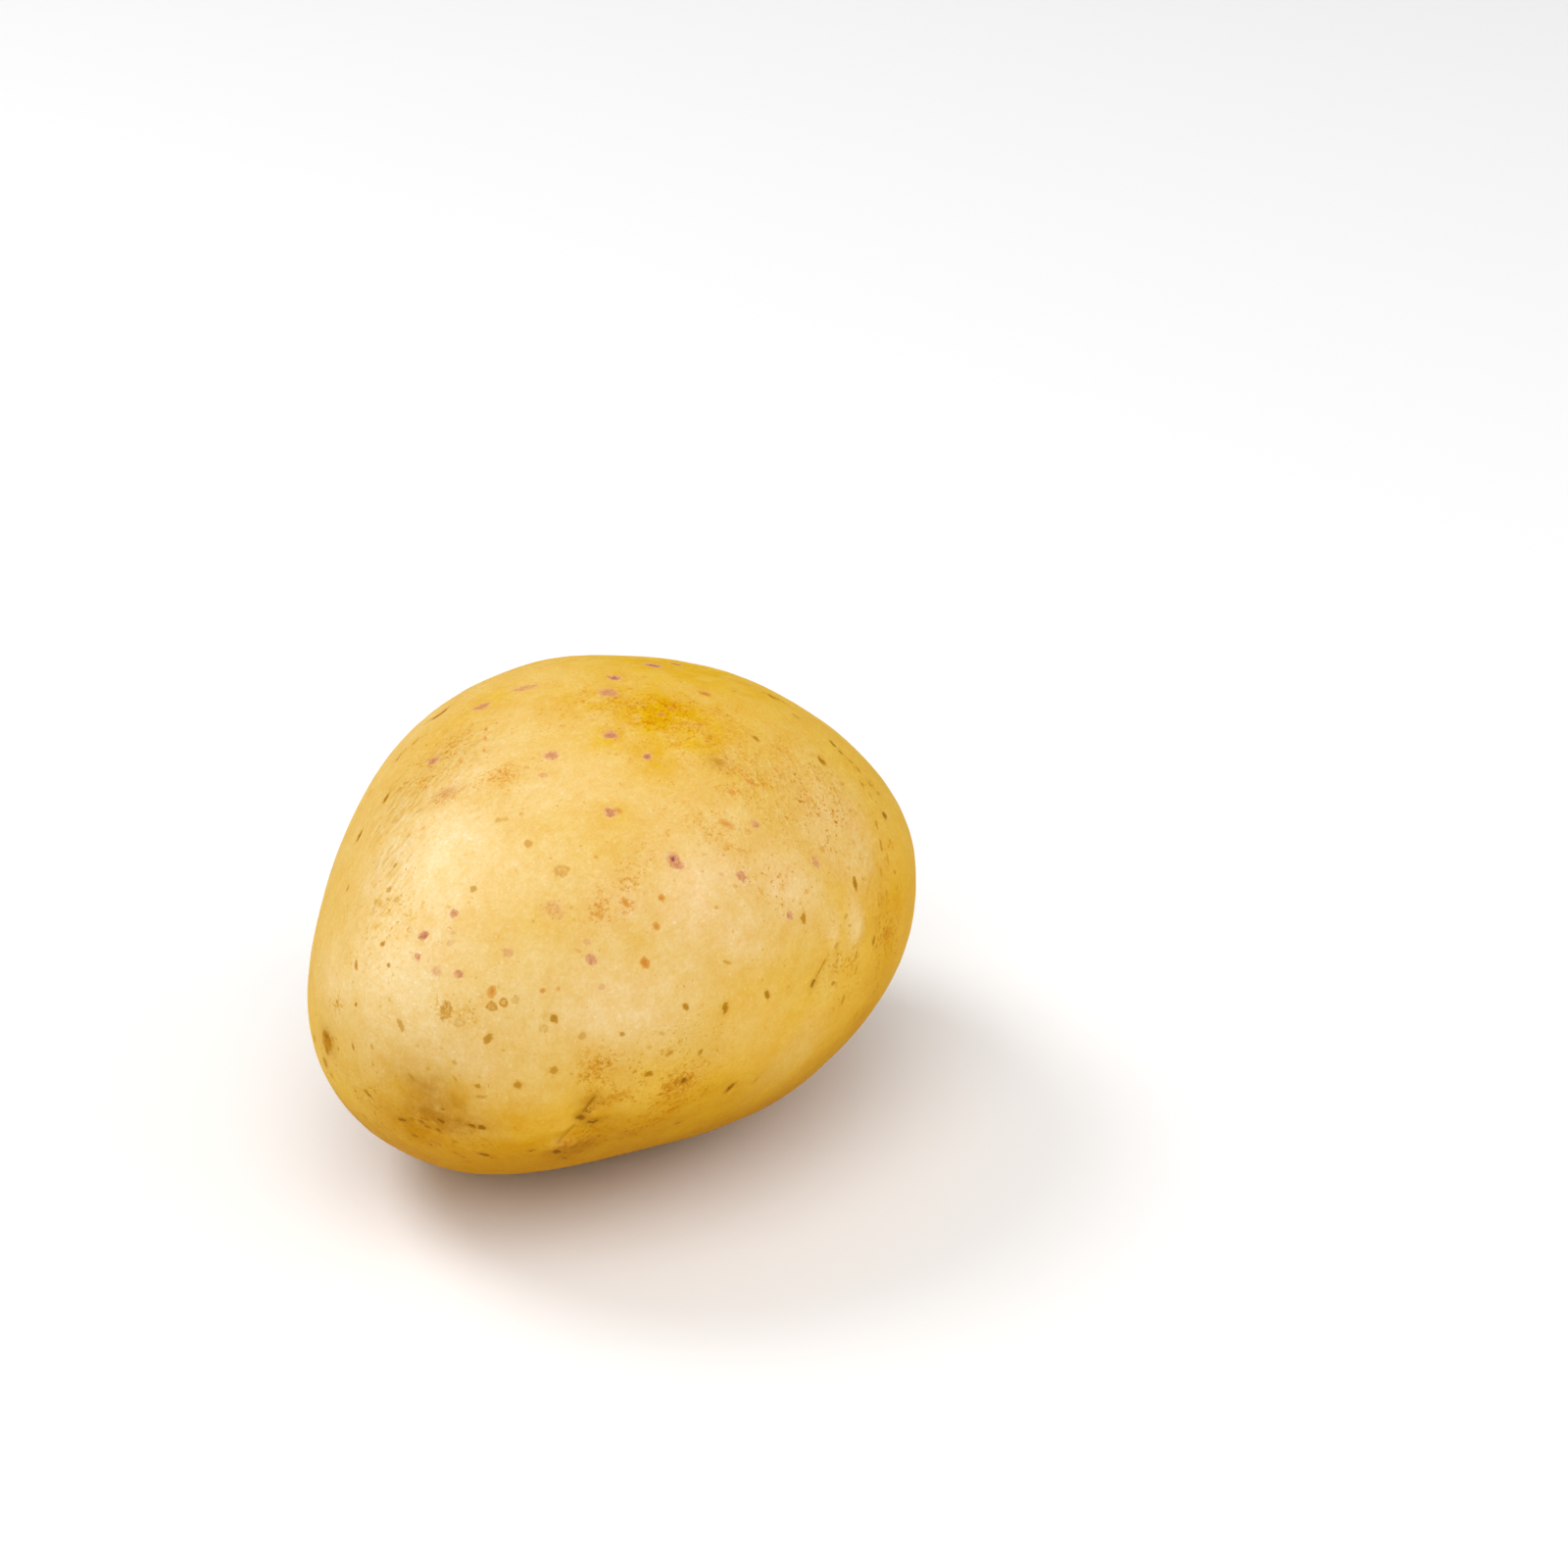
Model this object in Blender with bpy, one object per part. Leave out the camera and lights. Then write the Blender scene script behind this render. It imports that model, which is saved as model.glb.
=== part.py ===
"""A potato: one grown tuber with a thin, smooth skin, lying on a small flat spot.

X runs along the tuber, from its stem end (-X) to its bud end (+X).
It is widest along Y and flattest along Z, and its resting spot lies at Z = 0.
"""

import math

import bmesh
import bpy
import numpy as np

NAME = "potato"
METRES_PER_MM = 0.001

# Driving sizes of the tuber, in millimetres
LENGTH = 92.0
WIDTH = 71.0
HEIGHT = 63.5
FULLNESS = 2.15
CENTRE_HEIGHT = 30.4
SPOT_ROUNDING = 0.25

# Faces along each side of the cube that is rounded into the tuber
GRID = 26

SKIN_COLOUR = (0.80, 0.56, 0.20, 1.0)
SKIN_ROUGHNESS = 0.48

# Broad swellings and hollows of the flesh. Each is a place in degrees, longitude from
# the bud end towards +Y and latitude up from the waist, then its reach in degrees and
# how far it stands out, in millimetres.
LOBES = {
    "flat back of the stem end": (149.0, 12.0, 33.0, -5.2),
    "hollow under the stem end": (231.0, -42.0, 34.0, -4.6),
    "slope under the front cheek": (303.0, -34.0, 26.0, -1.3),
    "slope above the bud end": (347.0, 23.0, 23.0, -2.0),
    "slope behind the crown": (18.0, 46.0, 22.0, -0.9),
    "crown": (82.0, 48.0, 30.0, 1.6),
    "shoulder of the stem end": (190.0, 30.0, 20.0, 0.6),
    "front cheek": (262.0, 22.0, 22.0, 0.7),
    "groove between them, upper": (231.0, 27.0, 13.0, -0.8),
    "groove between them, lower": (224.0, 6.0, 11.0, -0.7),
    "swelling beside the front eye": (210.0, -10.0, 10.0, 0.8),
    "dent in the stem end": (196.0, -3.0, 8.0, -0.7),
    "front of the bud end": (330.0, 8.0, 20.0, 0.8),
    "belly": (225.0, -75.0, 22.0, 0.6),
}

# Eyes. Each is a place in degrees, the length of its brow across the tuber and the
# depth of the recess on its bud side in millimetres, and how far it is turned.
EYES = {
    "front, low": (219.0, -10.0, 16.0, 1.4, 12.0),
    "front, small": (276.0, 5.0, 7.0, 0.5, 0.0),
    "top, small": (286.0, 58.0, 5.0, 0.35, 0.0),
    "bud end, centre": (8.0, 4.0, 8.0, 1.1, 0.0),
    "bud end, upper": (352.0, 40.0, 9.0, 0.9, 20.0),
    "bud end, front": (334.0, -14.0, 9.0, 1.0, -10.0),
    "bud end, back": (32.0, 18.0, 10.0, 1.0, 15.0),
    "back, upper": (66.0, 24.0, 12.0, 1.0, 10.0),
    "back, middle": (108.0, -4.0, 13.0, 1.1, -8.0),
    "back, low": (48.0, -32.0, 11.0, 1.0, 0.0),
    "stem end, low": (142.0, -30.0, 12.0, 0.9, 5.0),
    "underside, front": (292.0, -50.0, 12.0, 1.0, -12.0),
}

# An eye's own proportions, as shares of its brow's length and of its depth
BROW_BOW = 0.24
BROW_BEHIND = 0.14
BROW_REACH = 0.20
BROW_RISE = 0.45
RECESS_AHEAD = 0.16
RECESS_REACH = 0.22
RECESS_SPAN = 0.375

# The scar where the tuber hung from its root: place in degrees, width and depth
STEM_SCAR = (175.0, 0.0, 4.5, 0.6)


def towards(longitude, latitude):
    """The unit vector that points at a place on the tuber."""
    east = math.radians(longitude)
    north = math.radians(latitude)
    return np.array(
        [
            math.cos(north) * math.cos(east),
            math.cos(north) * math.sin(east),
            math.sin(north),
        ]
    )


def body_radius(ways):
    """Distance from the middle to the plain body's surface, along each way."""
    halves = np.array([LENGTH, WIDTH, HEIGHT]) / 2
    return (np.abs(ways / halves) ** FULLNESS).sum(axis=1) ** (-1 / FULLNESS)


def hump(distance, reach):
    """A smooth rise to 1 where the distance is 0, fading over the reach."""
    return np.exp(-((distance / reach) ** 2))


def lobe(ways, longitude, latitude, reach, height):
    """A broad round swelling, or a hollow where the height is negative."""
    apart = np.degrees(np.arccos(np.clip(ways @ towards(longitude, latitude), -1, 1)))
    return height * hump(apart, reach)


def eye(ways, radii, longitude, latitude, brow_length, depth, turn):
    """A recess with a raised, curved brow on its stem side."""
    middle = towards(longitude, latitude)
    budward = np.array([1.0, 0.0, 0.0]) - middle[0] * middle
    budward /= np.linalg.norm(budward)
    sideward = np.cross(middle, budward)
    on_this_side = ways @ middle > 0
    ahead = radii * (ways @ budward) / brow_length
    aside = radii * (ways @ sideward) / brow_length
    turned = math.radians(turn)
    across_brow = ahead * math.cos(turned) + aside * math.sin(turned)
    along_brow = aside * math.cos(turned) - ahead * math.sin(turned)
    across_brow = across_brow - BROW_BOW * along_brow**2
    recess = hump(across_brow - RECESS_AHEAD, RECESS_REACH) * hump(along_brow, RECESS_SPAN)
    brow = hump(across_brow + BROW_BEHIND, BROW_REACH) * hump(along_brow, 0.5)
    return on_this_side * depth * (BROW_RISE * brow - recess)


def scar(ways, radii, longitude, latitude, width, depth):
    """A small round pit."""
    apart = radii * np.linalg.norm(ways - towards(longitude, latitude), axis=1)
    return -depth * hump(apart, width / 2)


def tuber_radius(ways):
    radii = body_radius(ways)
    for place in LOBES.values():
        radii = radii + lobe(ways, *place)
    plain = radii
    for place in EYES.values():
        radii = radii + eye(ways, plain, *place)
    return radii + scar(ways, plain, *STEM_SCAR)


def rest_on_spot(heights):
    """Heights over the surface, with what would sink below it pressed flat at zero."""
    bend = (heights + SPOT_ROUNDING) ** 2 / (4 * SPOT_ROUNDING)
    return np.where(
        heights <= -SPOT_ROUNDING,
        0.0,
        np.where(heights >= SPOT_ROUNDING, heights, bend),
    )


def rounded_cube(grid):
    """A cube's faces in a grid, pushed out to a sphere with even spacing."""
    shape = bmesh.new()
    bmesh.ops.create_cube(shape, size=2.0)
    bmesh.ops.subdivide_edges(shape, edges=shape.edges, cuts=grid - 1, use_grid_fill=True)
    places = np.array([vert.co for vert in shape.verts])
    even = np.tan(places * math.pi / 4)
    return shape, even / np.linalg.norm(even, axis=1, keepdims=True)


def make_potato(collection):
    shape, ways = rounded_cube(GRID)
    points = ways * tuber_radius(ways)[:, None]
    points[:, 2] = rest_on_spot(points[:, 2] + CENTRE_HEIGHT)
    points[:, :2] -= (points[:, :2].min(axis=0) + points[:, :2].max(axis=0)) / 2
    for vert, point in zip(shape.verts, points * METRES_PER_MM):
        vert.co = point
    bmesh.ops.recalc_face_normals(shape, faces=shape.faces)
    mesh = bpy.data.meshes.new(NAME)
    shape.to_mesh(mesh)
    shape.free()
    mesh.shade_smooth()
    mesh.materials.append(skin_material())
    potato = bpy.data.objects.new(NAME, mesh)
    collection.objects.link(potato)
    return potato


def skin_material():
    material = bpy.data.materials.new("potato_skin")
    material.use_nodes = True
    shader = material.node_tree.nodes["Principled BSDF"]
    shader.inputs["Base Color"].default_value = SKIN_COLOUR
    shader.inputs["Roughness"].default_value = SKIN_ROUGHNESS
    shader.inputs["Metallic"].default_value = 0.0
    return material


def main():
    for old in list(bpy.data.objects):
        bpy.data.objects.remove(old, do_unlink=True)
    collection = bpy.data.collections.new(NAME)
    bpy.context.scene.collection.children.link(collection)
    make_potato(collection)


main()
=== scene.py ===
"""The looks of the potato: its skin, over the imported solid.

One fine mesh stands for the solid. It takes the solid's form, with the facets smoothed
out, and adds what the skin has: shallow unevenness, low bumps, pores, cracks and creases.
The marks that the photograph shows are placed by the pixel where they are seen and cut
into the mesh there. Those of the sides that it hides are drawn from a seed.
"""

import math

import bmesh
import bpy
import numpy as np
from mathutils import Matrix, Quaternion, Vector, noise
from mathutils.bvhtree import BVHTree


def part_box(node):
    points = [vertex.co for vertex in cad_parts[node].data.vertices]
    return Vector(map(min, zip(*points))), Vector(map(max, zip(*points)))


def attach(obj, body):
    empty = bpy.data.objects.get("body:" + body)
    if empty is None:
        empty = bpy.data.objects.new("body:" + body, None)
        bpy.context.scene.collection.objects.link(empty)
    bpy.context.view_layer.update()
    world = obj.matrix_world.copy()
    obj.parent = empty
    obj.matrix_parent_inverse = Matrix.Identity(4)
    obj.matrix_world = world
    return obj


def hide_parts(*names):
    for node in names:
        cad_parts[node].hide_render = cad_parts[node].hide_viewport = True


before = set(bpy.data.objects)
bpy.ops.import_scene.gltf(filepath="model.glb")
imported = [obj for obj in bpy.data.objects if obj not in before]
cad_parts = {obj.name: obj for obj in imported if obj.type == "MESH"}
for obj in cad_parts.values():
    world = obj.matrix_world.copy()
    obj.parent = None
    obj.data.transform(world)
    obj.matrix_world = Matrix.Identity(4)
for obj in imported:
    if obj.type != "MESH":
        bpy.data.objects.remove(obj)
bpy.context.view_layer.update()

NODE = "potato"
LOW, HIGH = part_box(NODE)
MIDDLE = (LOW + HIGH) / 2
MM = 0.001
SEED = 1894

# The photograph's camera: a square picture, and where it shows the middle of the potato
PHOTO_SIDE = 1600
MIDDLE_PIXEL = (617.0, 932.0)
CAMERA_AZIMUTH = -46.0
CAMERA_ELEVATION = 30.0
CAMERA_DISTANCE = 0.575
NEAREST_SEEN = 0.01
LENS = 100.0
SENSOR = 36.0

# The fine mesh: faces along each side of the cube that is rounded into the potato
GRID = 128
SMOOTHING_ROUNDS = 4
# Points of the solid this close, in mm, are one, and two triangles this even join to a square
WELD = 0.01
QUAD = math.radians(60.0)
# What a square of the mesh's map stays clear of its neighbours, as a share of its side
CHART_GAP = 0.006

# Unevenness of the skin: the size of each kind of swelling and how far it stands out, in mm
SWELLINGS = {
    "broad": (11.0, 0.16),
    "middling": (4.2, 0.055),
    "fine": (1.7, 0.022),
}
# How far apart the noises of the kinds are read
SWELLING_SHIFT = Vector((7.3, 2.1, 5.7))
# Below this height, in mm, what stands out of the skin dies away towards the floor
CALM_HEIGHT = 2.0

# Pores and spots seen in the photograph, by the pixel of each one's middle. Then the width
# across it in mm, its length over its width, the way it runs in degrees anticlockwise from
# the picture's right, and how strongly it shows.
PURPLE_PORES = [
    (621, 707, 2.2, 1.05, 0, 0.75), (627, 692, 1.6, 1.05, -10, 1.1),
    (667, 679, 2.0, 1.15, -10, 1.5), (690, 678, 1.5, 1.1, 0, 1.0), (623, 750, 1.7, 1.05, -20, 0.9),
    (661, 772, 1.15, 1.05, 0, 0.95), (563, 771, 1.6, 1.1, 10, 0.85), (492, 721, 1.5, 1.6, 22, 0.8),
    (535, 702, 1.4, 2.2, 10, 0.6), (442, 776, 1.6, 1.2, 15, 0.8), (623, 829, 1.4, 1.1, -10, 0.85),
    (689, 879, 1.7, 1.25, -55, 0.8), (687, 876, 0.95, 1.2, -45, 2.0), (457, 808, 2.0, 1.2, 20, 0.2),
    (757, 894, 1.25, 1.25, -30, 0.75), (832, 880, 1.1, 1.3, -55, 0.65),
    (771, 841, 0.9, 1.2, -30, 0.7), (806, 934, 1.05, 1.0, 0, 0.8), (603, 979, 1.25, 1.1, 0, 0.8),
    (599, 961, 0.8, 1.2, 0, 0.3), (614, 1007, 0.8, 1.0, 0, 0.35), (518, 972, 1.1, 1.2, 0, 0.45),
    (432, 955, 1.1, 1.2, 20, 0.95), (426, 976, 0.85, 1.1, -20, 0.75), (445, 991, 1.2, 1.1, 0, 0.4),
    (468, 994, 0.9, 1.4, -10, 0.75), (463, 932, 1.0, 1.1, 0, 0.8), (554, 791, 0.9, 1.3, 0, 0.45),
    (565, 928, 1.9, 1.3, -30, 0.25), (459, 962, 0.8, 1.3, 40, 0.3), (462, 952, 0.6, 1.4, 0, 0.3),
]
ORANGE_PORES = [
    (675, 916, 0.8, 1.1, 0, 0.9), (670, 945, 0.85, 1.3, -45, 0.8), (638, 921, 0.8, 1.7, -60, 0.85),
    (643, 703, 0.6, 1.6, -20, 0.5), (657, 691, 0.6, 1.6, 0, 0.5), (685, 724, 0.5, 3.0, -65, 0.7),
    (647, 734, 0.6, 1.8, -10, 0.4), (507, 738, 0.4, 1.0, 0, 0.6), (496, 744, 0.5, 1.6, -80, 0.6),
    (495, 753, 0.5, 2.2, -80, 0.6), (494, 765, 0.45, 2.0, -80, 0.5), (747, 809, 0.9, 1.4, 0, 0.5),
    (766, 799, 0.8, 1.8, -20, 0.6), (792, 786, 0.5, 2.4, -40, 0.5), (764, 848, 0.7, 1.4, 0, 0.4),
    (736, 892, 0.6, 1.3, 0, 0.3), (590, 970, 0.5, 2.0, -20, 0.4), (658, 982, 1.1, 1.25, -60, 1.0),
    (631, 827, 0.9, 1.3, -20, 0.7), (742, 841, 1.1, 2.2, -15, 0.6), (608, 875, 0.5, 1.2, 0, 0.5),
    (502, 1012, 1.1, 1.3, 70, 0.8), (554, 1011, 0.7, 1.0, 0, 0.7), (719, 708, 1.3, 1.3, -25, 1.15),
    (675, 729, 1.1, 1.0, 0, 0.9), (714, 739, 0.9, 1.1, -30, 0.7), (733, 727, 0.7, 1.6, -40, 0.5),
    (544, 940, 0.5, 1.0, 0, 0.4), (570, 1009, 0.6, 1.0, 0, 0.5),
]
BROWN_SPOTS = [
    (750, 705, 0.7, 1.2, 0, 0.7), (771, 753, 0.8, 1.9, -35, 0.85), (734, 778, 1.2, 1.3, 0, 0.55),
    (788, 711, 0.9, 2.0, -32, 0.9), (812, 731, 0.8, 2.0, -40, 0.7), (839, 776, 1.15, 1.6, -40, 1.0),
    (850, 759, 1.2, 1.3, -50, 1.1), (877, 786, 0.8, 1.8, -50, 0.8), (902, 832, 1.2, 1.2, 0, 1.2),
    (894, 842, 0.7, 1.8, -65, 0.7), (899, 863, 0.7, 2.4, -70, 0.75), (908, 859, 0.7, 1.4, 0, 0.6),
    (879, 800, 0.6, 2.6, -48, 0.6), (888, 812, 0.5, 2.8, -50, 0.5), (906, 876, 0.6, 2.4, -72, 0.6),
    (899, 890, 0.6, 2.0, -75, 0.5), (916, 905, 0.7, 1.8, -80, 0.5), (905, 912, 0.6, 2.0, -80, 0.5),
    (913, 890, 0.6, 1.4, 20, 0.7), (891, 960, 0.9, 1.4, 70, 0.9), (873, 974, 0.5, 2.4, 70, 0.7),
    (873, 989, 0.5, 2.4, 70, 0.6), (853, 981, 0.6, 1.5, 60, 0.5), (865, 944, 0.5, 1.2, 0, 0.5),
    (862, 935, 0.6, 1.8, 40, 0.5), (873, 902, 0.95, 2.2, -70, 0.95),
    (820, 937, 1.05, 1.5, -70, 0.85), (717, 889, 0.45, 1.0, 0, 0.4), (731, 926, 0.5, 1.0, 0, 0.5),
    (483, 907, 1.0, 1.1, 0, 0.7), (539, 861, 1.2, 1.0, 0, 0.6), (508, 837, 0.9, 1.0, 0, 0.45),
    (516, 836, 0.7, 1.2, 20, 0.35), (532, 831, 0.6, 1.2, 0, 0.35), (407, 772, 0.75, 2.8, 62, 0.85),
    (424, 757, 0.75, 2.0, 40, 0.8), (413, 766, 0.6, 2.0, 50, 0.6), (378, 807, 0.6, 1.8, 65, 0.5),
    (394, 815, 1.0, 1.8, 62, 1.05), (367, 853, 0.95, 2.4, 62, 1.1), (428, 827, 0.9, 1.2, 0, 0.35),
    (404, 838, 0.8, 1.4, 0, 0.3), (403, 883, 0.6, 1.4, 70, 0.7), (397, 908, 0.8, 1.1, 0, 0.65),
    (355, 906, 0.6, 1.8, 70, 0.8), (383, 921, 0.7, 1.2, 20, 0.5), (405, 918, 0.8, 1.4, 10, 0.45),
    (417, 853, 0.7, 1.3, 20, 0.35), (432, 845, 0.6, 1.3, 20, 0.3), (390, 963, 0.75, 1.4, 25, 0.85),
    (363, 985, 0.7, 1.9, -85, 0.8), (396, 985, 0.65, 1.2, 0, 0.8), (360, 1002, 0.5, 1.1, 0, 0.35),
    (363, 1025, 0.65, 1.1, 0, 0.95), (397, 1020, 0.5, 1.3, -60, 0.35),
    (360, 1068, 0.65, 1.6, -70, 0.85), (379, 1068, 0.6, 1.5, -60, 0.55),
    (409, 1046, 0.95, 2.1, -62, 0.68), (426, 1067, 0.45, 1.2, 0, 0.3),
    (437, 1090, 0.55, 1.2, 0, 0.4), (464, 1084, 0.65, 1.2, -50, 0.45),
    (420, 1099, 0.6, 2.0, -35, 0.7), (464, 1100, 0.35, 2.6, -50, 0.5),
    (498, 1060, 1.05, 1.6, 52, 0.8), (487, 1108, 0.75, 1.4, 10, 0.8), (491, 1119, 0.6, 2.4, 5, 0.6),
    (463, 1119, 0.5, 1.6, -30, 0.4), (375, 1116, 0.75, 2.6, -20, 0.9),
    (372, 1140, 0.6, 1.8, -25, 0.6), (333, 1057, 1.6, 1.2, -80, 0.95),
    (336, 1064, 1.8, 1.1, -80, 1.0), (334, 1071, 1.5, 1.1, -75, 0.95),
    (343, 1060, 0.4, 1.4, 30, 0.5), (345, 1070, 0.5, 1.2, 0, 0.5), (332, 1084, 1.4, 1.2, -75, 0.8),
    (338, 1097, 1.0, 1.1, -65, 0.7), (321, 1059, 0.9, 1.6, -85, 0.8),
    (385, 1149, 0.8, 1.6, -15, 0.6), (411, 1143, 0.9, 2.2, 12, 1.4), (421, 1142, 0.7, 1.6, 0, 0.9),
    (423, 1159, 1.0, 1.2, 0, 1.2), (430, 1145, 0.9, 1.3, -10, 1.2), (450, 1144, 1.0, 1.8, -12, 1.7),
    (448, 1154, 1.0, 1.3, -30, 1.3), (437, 1150, 0.7, 1.8, -5, 1.0),
    (452, 1132, 0.5, 1.4, -30, 1.0), (421, 1130, 0.5, 1.4, -30, 0.6),
    (481, 1149, 1.0, 1.5, -10, 1.4), (492, 1151, 1.1, 1.3, -5, 1.25),
    (495, 1179, 1.1, 1.9, -14, 1.7), (503, 1182, 0.6, 2.6, -8, 1.0),
    (464, 1177, 0.9, 1.3, -10, 1.0), (438, 1182, 0.8, 1.4, -20, 1.0), (464, 1165, 0.8, 1.2, 0, 0.8),
    (472, 1181, 0.8, 1.6, -10, 1.1), (479, 1186, 0.8, 1.6, -10, 1.0),
    (543, 1175, 0.8, 1.8, -15, 1.2), (529, 1107, 1.2, 1.1, 0, 0.8), (565, 1092, 1.1, 1.3, 25, 0.75),
    (566, 1040, 1.0, 1.5, -60, 0.85), (595, 1057, 1.0, 1.1, 0, 0.55),
    (635, 1055, 0.7, 1.1, 0, 0.75), (662, 1096, 0.95, 1.3, 10, 0.95),
    (698, 1103, 1.0, 1.3, 10, 1.3), (715, 1074, 0.7, 1.5, 60, 0.8), (684, 1075, 0.7, 1.8, 20, 0.7),
    (676, 1055, 0.5, 2.2, -35, 0.4), (691, 1116, 0.7, 1.2, 0, 0.6), (745, 1110, 1.1, 1.9, 42, 1.5),
    (771, 1103, 0.8, 2.0, 30, 0.4), (692, 1147, 0.8, 1.5, 15, 1.1), (651, 1153, 0.6, 1.8, 15, 0.6),
    (630, 1171, 0.8, 1.5, 10, 0.6), (608, 1142, 0.5, 3.2, 8, 0.6), (584, 1172, 1.6, 1.6, 10, 1.1),
    (591, 1176, 1.5, 1.6, 15, 1.1), (600, 1171, 1.1, 1.6, 15, 0.95), (577, 1177, 1.2, 1.3, 0, 1.2),
    (740, 1029, 1.0, 1.9, 85, 0.95), (700, 1028, 1.0, 1.2, -60, 0.9),
    (783, 1015, 0.9, 1.8, -72, 0.95), (742, 982, 0.4, 3.4, -20, 0.6), (850, 1003, 0.7, 1.2, 0, 0.8),
    (860, 1020, 0.7, 1.7, 65, 0.75), (853, 965, 0.9, 1.3, 60, 0.55),
    (805, 1007, 0.4, 1.4, 60, 0.35), (873, 1037, 0.7, 2.4, 55, 0.5),
]
# Pores with a dark rim and a paler middle
RING_PORES = [
    (573, 889, 1.7, 1.1, 20, 0.65), (502, 1027, 1.2, 1.1, 0, 1.1), (514, 1023, 1.1, 1.0, 0, 1.2),
    (526, 1020, 1.0, 1.1, 0, 0.5), (455, 1031, 1.5, 1.5, 75, 0.95), (469, 1043, 1.2, 1.3, 20, 0.35),
    (559, 1037, 1.1, 1.2, 0, 0.2), (555, 1050, 1.1, 1.1, 0, 0.4), (418, 949, 0.8, 1.0, 0, 0.4),
    (446, 1167, 1.0, 1.2, 0, 0.8), (635, 1156, 1.4, 1.3, 20, 0.4), (604, 1163, 1.1, 1.2, 0, 0.4),
]

# Cracks seen in the photograph, as the pixels they run through. Then the width and the depth
# of the groove in mm, and how dark it is.
CRACKS = {
    "on the left shoulder": ([(439, 735), (448, 729), (459, 721)], 0.7, 0.14, 1.1),
    "on the bud side": ([(832, 1000), (838, 989), (844, 976)], 0.35, 0.14, 0.35),
    "end of the one on the bud side": ([(828, 1009), (833, 998)], 0.9, 0.12, 0.75),
    "first on the far shoulder": ([(856, 765), (861, 770)], 0.8, 0.10, 0.65),
    "second on the far shoulder": ([(866, 774), (871, 779)], 0.6, 0.08, 0.5),
    "third on the far shoulder": ([(886, 797), (891, 803)], 0.6, 0.08, 0.5),
    "fourth on the far shoulder": ([(895, 807), (899, 812)], 0.5, 0.08, 0.45),
    "in the front eye's fold, upper": (
        [(610, 1115), (604, 1123), (598, 1131), (593, 1138)], 0.75, 0.18, 0.55
    ),
    "in the front eye's fold, lower": (
        [(590, 1145), (580, 1155), (573, 1162), (566, 1172)], 0.5, 0.14, 0.3
    ),
    "first scar of the front eye": ([(588, 1144), (592, 1140), (597, 1144)], 1.2, 0.28, 0.85),
    "arc from the first scar": ([(597, 1144), (605, 1146), (613, 1142)], 0.8, 0.12, 0.9),
    "second scar of the front eye": ([(564, 1175), (570, 1178), (576, 1176)], 1.5, 0.32, 1.2),
    "third scar of the front eye": ([(572, 1182), (580, 1183)], 0.9, 0.12, 0.9),
}

# Soft patches of colour seen in the photograph, by the pixel of each one's middle. Then the
# two half-widths over the skin in mm, the way of the first and how strongly it shows.
GOLD_PATCHES = [
    (685, 730, 14.0, 13.0, -8, 0.65), (650, 962, 2.2, 2.6, 0, 0.3), (676, 729, 7.5, 9.0, 0, 1.1),
    (711, 746, 6.0, 6.0, -30, 1.0), (735, 745, 9.0, 6.0, -35, 0.5), (628, 755, 5.0, 4.5, 10, 0.8),
    (661, 770, 5.5, 5.0, 0, 0.85), (634, 716, 5.5, 6.5, 0, 0.8), (600, 716, 6.0, 6.0, 0, 0.65),
    (700, 680, 18.0, 13.0, -8, 1.05), (640, 705, 11.0, 9.0, 0, 0.4),
    (750, 780, 10.0, 5.0, -38, 0.4), (720, 1140, 9.0, 4.0, 20, 0.35),
    (800, 1092, 8.0, 4.0, 35, 0.35), (500, 715, 4.6, 4.0, 15, 0.6), (460, 745, 6.0, 4.0, 30, 0.45),
    (623, 832, 3.2, 2.8, 0, 0.55), (600, 850, 5.0, 8.0, 75, 0.3), (510, 790, 4.0, 3.6, 10, 0.2),
    (545, 945, 6.0, 4.0, 10, 0.3),
]
PINK_PATCHES = [
    (728, 918, 9.0, 7.0, -20, 0.95), (800, 905, 6.0, 5.0, 0, 0.7), (860, 855, 7.0, 6.0, -50, 0.6),
    (480, 1075, 9.0, 4.5, -15, 0.35), (630, 1020, 8.0, 4.5, 0, 0.55), (642, 925, 3.5, 7.0, 10, 0.5),
    (450, 962, 4.0, 4.0, 0, 0.4),
]
# Pale patches, most of them painted highlight: where the light is strongest on the left flank,
# along the left edge, at the second highlight on the right and on the lit sides of the low bumps
# and of the front eye's fold. A few small ones are pale flakes of the skin.
PALE_AND_HIGHLIGHT_PATCHES = [
    (440, 880, 9.0, 8.0, 80, 0.9), (400, 975, 9.0, 8.0, 80, 0.75), (345, 1000, 5.0, 8.0, 80, 0.4),
    (470, 800, 7.0, 4.0, 30, 0.35), (585, 803, 8.0, 5.0, 0, 0.25), (649, 679, 0.45, 0.35, 0, 0.9),
    (850, 830, 8.0, 6.0, -45, 0.2), (805, 900, 6.0, 5.0, 0, 0.2), (640, 1038, 9.0, 5.0, 0, 0.35),
    (871, 940, 1.6, 3.2, 0, 0.6), (850, 948, 1.4, 2.2, 0, 0.5), (765, 1055, 7.0, 5.0, -20, 0.18),
    (810, 1075, 7.0, 4.0, 35, 0.3), (643, 930, 0.8, 0.5, -60, 0.8), (572, 1166, 0.9, 1.9, 50, 0.25),
]
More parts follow.
